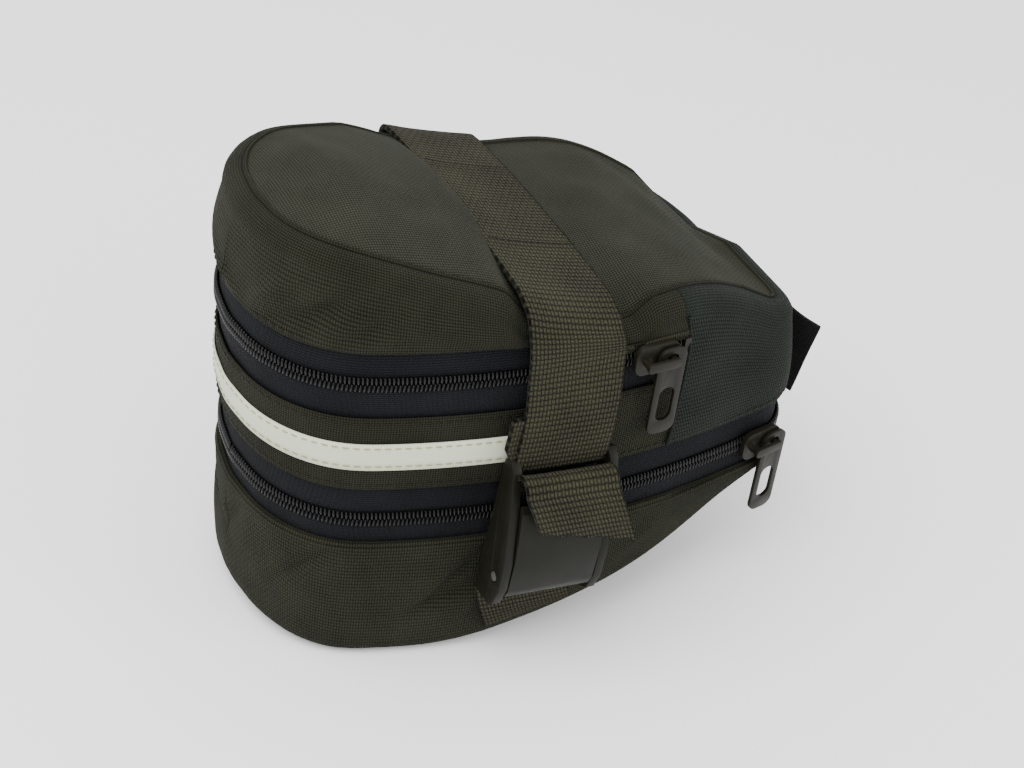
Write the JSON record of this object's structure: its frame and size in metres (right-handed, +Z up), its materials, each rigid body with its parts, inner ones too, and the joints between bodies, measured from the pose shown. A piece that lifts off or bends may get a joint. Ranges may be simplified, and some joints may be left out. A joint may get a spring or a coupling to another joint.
{
  "type": "bicycle saddle bag",
  "caption": "Zip-up cloth saddle bag with an expansion zip, a pale reflective strip, a webbing strap with a cam buckle and a seat-post strap.",
  "frame": {"origin": "on the flat underside, in the middle plane, under the wide rear half", "axes": "+Z up, +X forward to the seat post, -Y the buckle side"},
  "size_m": [0.2106, 0.1324, 0.1566],
  "materials": {
    "body_cloth": "plain weave",
    "top_cloth": "plain weave",
    "front_cloth": "coarse twill",
    "zip_tape": "fine herringbone tape",
    "coil": "gloss",
    "reflective": "satin reflective tape",
    "thread": "matte",
    "webbing": "coarse ribbed webbing",
    "buckle_plastic": "satin",
    "slider_metal": "satin paint",
    "pin_steel": "satin",
    "hook_tape": "hook-and-loop pile"
  },
  "bodies": {
    "lower_shell": {"bottom_panel": "body_cloth", "lower_wall": "body_cloth", "lower_zip_tape_low": "zip_tape", "lower_zip_coil_low": "coil", "bottom_strap": "webbing"},
    "middle": {"expansion_gusset": "body_cloth", "middle_band": "body_cloth", "lid_wall_near": "body_cloth", "lid_wall_far": "body_cloth", "top_binding_front": "body_cloth", "lower_zip_tape_up": "zip_tape", "upper_zip_tape_low": "zip_tape", "upper_zip_tape_top_near": "zip_tape", "upper_zip_tape_top_far": "zip_tape", "lower_zip_coil_up": "coil", "upper_zip_coil_low": "coil", "upper_zip_coil_top_near": "coil", "upper_zip_coil_top_far": "coil", "upper_zip_stop_near": "coil", "upper_zip_stop_far": "coil", "reflective_strip": "reflective", "strip_thread_upper": "thread", "strip_thread_lower": "thread", "strap_stitch_lines": "thread", "front_panel": "front_cloth", "top_panel_front": "top_cloth", "top_strap": "webbing", "buckle_frame": "buckle_plastic", "buckle_pin": "pin_steel", "seatpost_anchor": "hook_tape"},
    "lid": {"top_panel_rear": "top_cloth", "lid_wall_rear": "body_cloth", "upper_zip_tape_top": "zip_tape", "upper_zip_coil_top": "coil", "top_binding_rear": "body_cloth"},
    "lever": {"cam_lever": "buckle_plastic", "strap_tail": "webbing"},
    "upper_slider": {"upper_slider": "slider_metal"},
    "upper_tab": {"upper_pull_tab": "slider_metal"},
    "lower_slider": {"lower_slider": "slider_metal"},
    "lower_tab": {"lower_pull_tab": "slider_metal"},
    "flap_near": {"seatpost_flap_near": "hook_tape"},
    "flap_far": {"seatpost_flap_far": "webbing"}
  },
  "joints": [
    {"name": "expansion_slide", "type": "slide", "parent": "lower_shell", "child": "middle", "axis": [0, 0, 1], "range_m": [0, 0.02]},
    {"name": "lid_hinge", "type": "hinge", "parent": "middle", "child": "lid", "pos_m": [0.0321, 0, 0.1385], "axis": [0, 1, 0], "range_deg": [0, 75]},
    {"name": "lever_hinge", "type": "hinge", "parent": "middle", "child": "lever", "pos_m": [0.04413, -0.066, 0.04026], "axis": [0.9954, 0, -0.0958], "range_deg": [0, 70]},
    {"name": "upper_slider_slide", "type": "slide", "parent": "middle", "child": "upper_slider", "axis": [0.9989, 0.0474, 0], "range_m": [-0.003, 0.0025]},
    {"name": "upper_tab_hinge", "type": "hinge", "parent": "upper_slider", "child": "upper_tab", "pos_m": [0.08222, -0.05914, 0.1096], "axis": [0.0474, -0.9989, 0], "range_deg": [-10, 75]},
    {"name": "lower_slider_slide", "type": "slide", "parent": "lower_shell", "child": "lower_slider", "axis": [0.981, 0.194, 0], "range_m": [-0.035, 0]},
    {"name": "lower_tab_hinge", "type": "hinge", "parent": "lower_slider", "child": "lower_tab", "pos_m": [0.13585, -0.05099, 0.057], "axis": [0.194, -0.981, 0], "range_deg": [-42, 75]},
    {"name": "flap_near_hinge", "type": "hinge", "parent": "middle", "child": "flap_near", "pos_m": [0.15091, -0.017, 0.0765], "axis": [0, 0, 1], "range_deg": [-20, 70]},
    {"name": "flap_far_hinge", "type": "hinge", "parent": "middle", "child": "flap_far", "pos_m": [0.15091, 0.017, 0.0765], "axis": [0, 0, 1], "range_deg": [-30, 55]}
  ]
}
